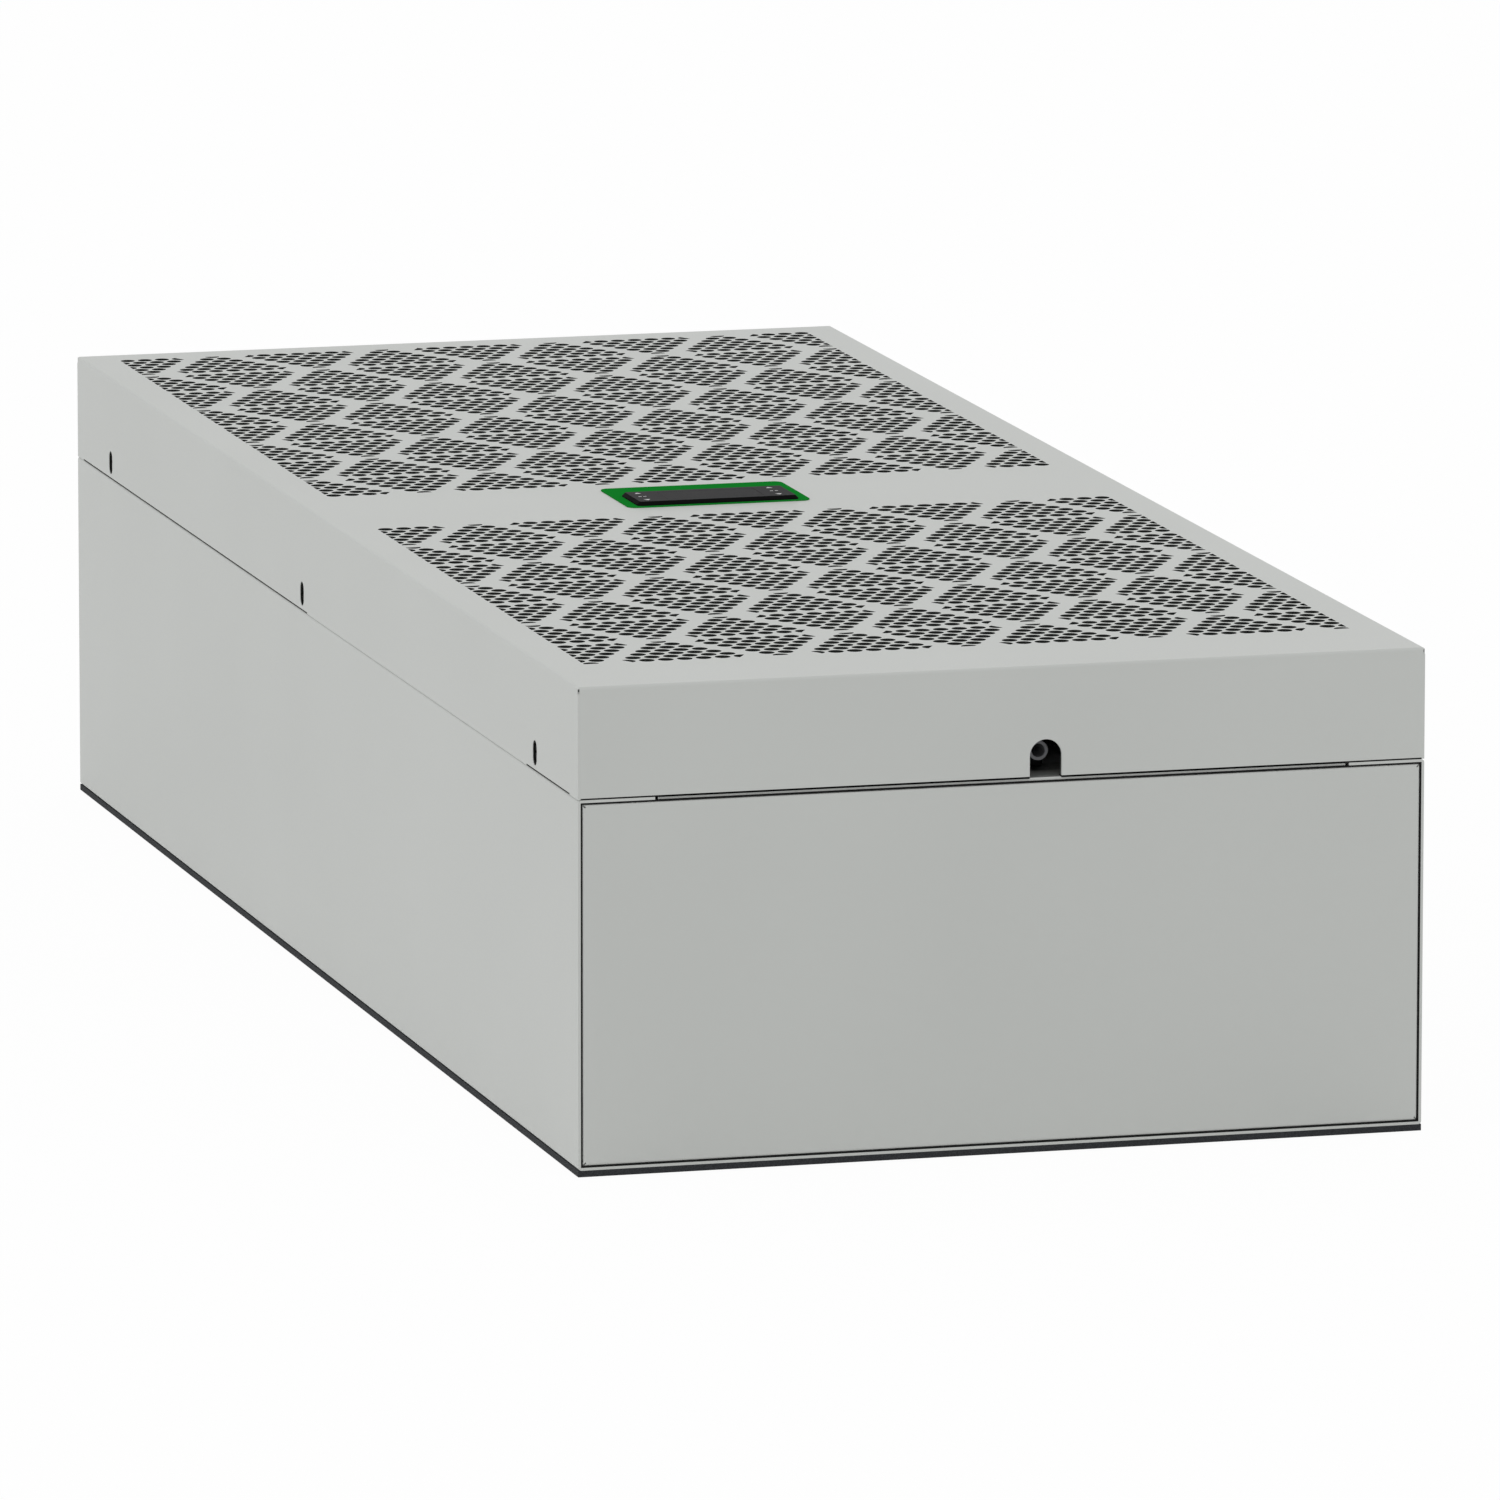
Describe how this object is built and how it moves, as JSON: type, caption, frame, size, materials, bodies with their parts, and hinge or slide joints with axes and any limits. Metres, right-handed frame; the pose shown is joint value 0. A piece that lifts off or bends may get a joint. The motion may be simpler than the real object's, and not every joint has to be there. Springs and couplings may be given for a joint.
{
  "type": "side-mounted enclosure cooling unit",
  "caption": "Slim cooling unit for the wall or door of a cabinet: grey sheet cover with triangular fields of round holes, flat gasketed mounting face, small display and a drain spigot.",
  "frame": {"origin": "middle of the gasket's underside, which is the mounting face", "axes": "+Z out of the mounting face to the cover, +Y from the drain end to the other end (upwards when it hangs on a wall), +X across"},
  "size_m": [0.4, 1, 0.2275],
  "materials": {
    "housing_paint": "light grey powder coat, fine texture",
    "gasket_foam": "closed-cell foam strip, matt black",
    "zinc_sheet": "galvanised sheet, dulled",
    "zinc_hardware": "zinc plated",
    "bezel_film": "green printed film",
    "display_plastic": "dark grey moulding with a clear window",
    "fin_aluminium": "fins with a dark protective coat",
    "copper_tube": "bare copper",
    "motor_casting": "die cast",
    "fan_plastic": "black moulding",
    "drain_plastic": "dark grey moulding"
  },
  "bodies": {
    "root": {"condensate_tray": "zinc_sheet", "condenser_bends": "copper_tube", "condenser_core": "fin_aluminium", "condenser_fan_base": "motor_casting", "condenser_fan_plate": "zinc_sheet", "condenser_fan_rotor": "fan_plastic", "condenser_plate_left": "zinc_sheet", "condenser_plate_right": "zinc_sheet", "control_box": "zinc_sheet", "cover": "housing_paint", "cover_tab_left_1": "zinc_sheet", "cover_tab_left_2": "zinc_sheet", "cover_tab_left_3": "zinc_sheet", "cover_tab_right_1": "zinc_sheet", "cover_tab_right_2": "zinc_sheet", "cover_tab_right_3": "zinc_sheet", "deck": "zinc_sheet", "display_bezel": "bezel_film", "display_module": "display_plastic", "drain_spigot": "drain_plastic", "evaporator_core": "fin_aluminium", "evaporator_fan_bridge": "zinc_sheet", "evaporator_impeller": "fan_plastic", "evaporator_motor": "motor_casting", "evaporator_plate_left": "zinc_sheet", "evaporator_plate_right": "zinc_sheet", "fixing_nuts": "zinc_hardware", "gasket": "gasket_foam", "housing_wrapper": "housing_paint", "inlet_ring": "zinc_sheet", "lower_end_panel": "housing_paint", "lower_grille": "housing_paint", "upper_end_panel": "housing_paint", "upper_grille": "housing_paint"}
  },
  "joints": []
}
